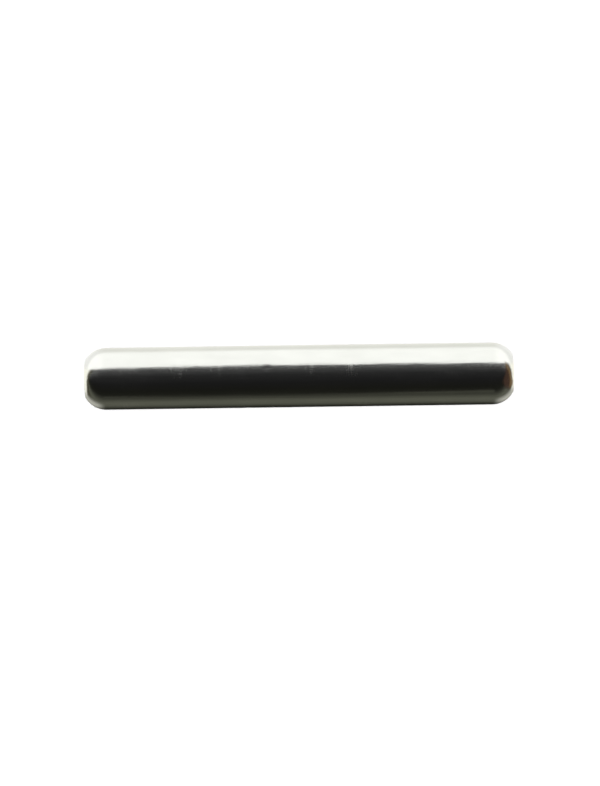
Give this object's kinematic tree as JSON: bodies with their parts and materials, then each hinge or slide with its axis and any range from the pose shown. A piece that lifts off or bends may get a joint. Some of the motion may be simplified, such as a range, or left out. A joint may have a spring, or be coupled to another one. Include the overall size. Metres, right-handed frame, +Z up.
{
  "type": "spring pin",
  "caption": "Straight hollow steel pin with rounded ends and a slot along its length. Driven into a slightly smaller hole, it closes up and grips like a spring.",
  "frame": {"origin": "on the surface that the pin lies on, under the middle of the pin", "axes": "+X along the pin, +Z up, away from the slot, which faces down"},
  "size_m": [0.045, 0.0066, 0.0062],
  "materials": {
    "spring_steel": "bright, tumbled to a polish"
  },
  "bodies": {
    "root": {"spring_pin": "spring_steel"}
  },
  "joints": []
}
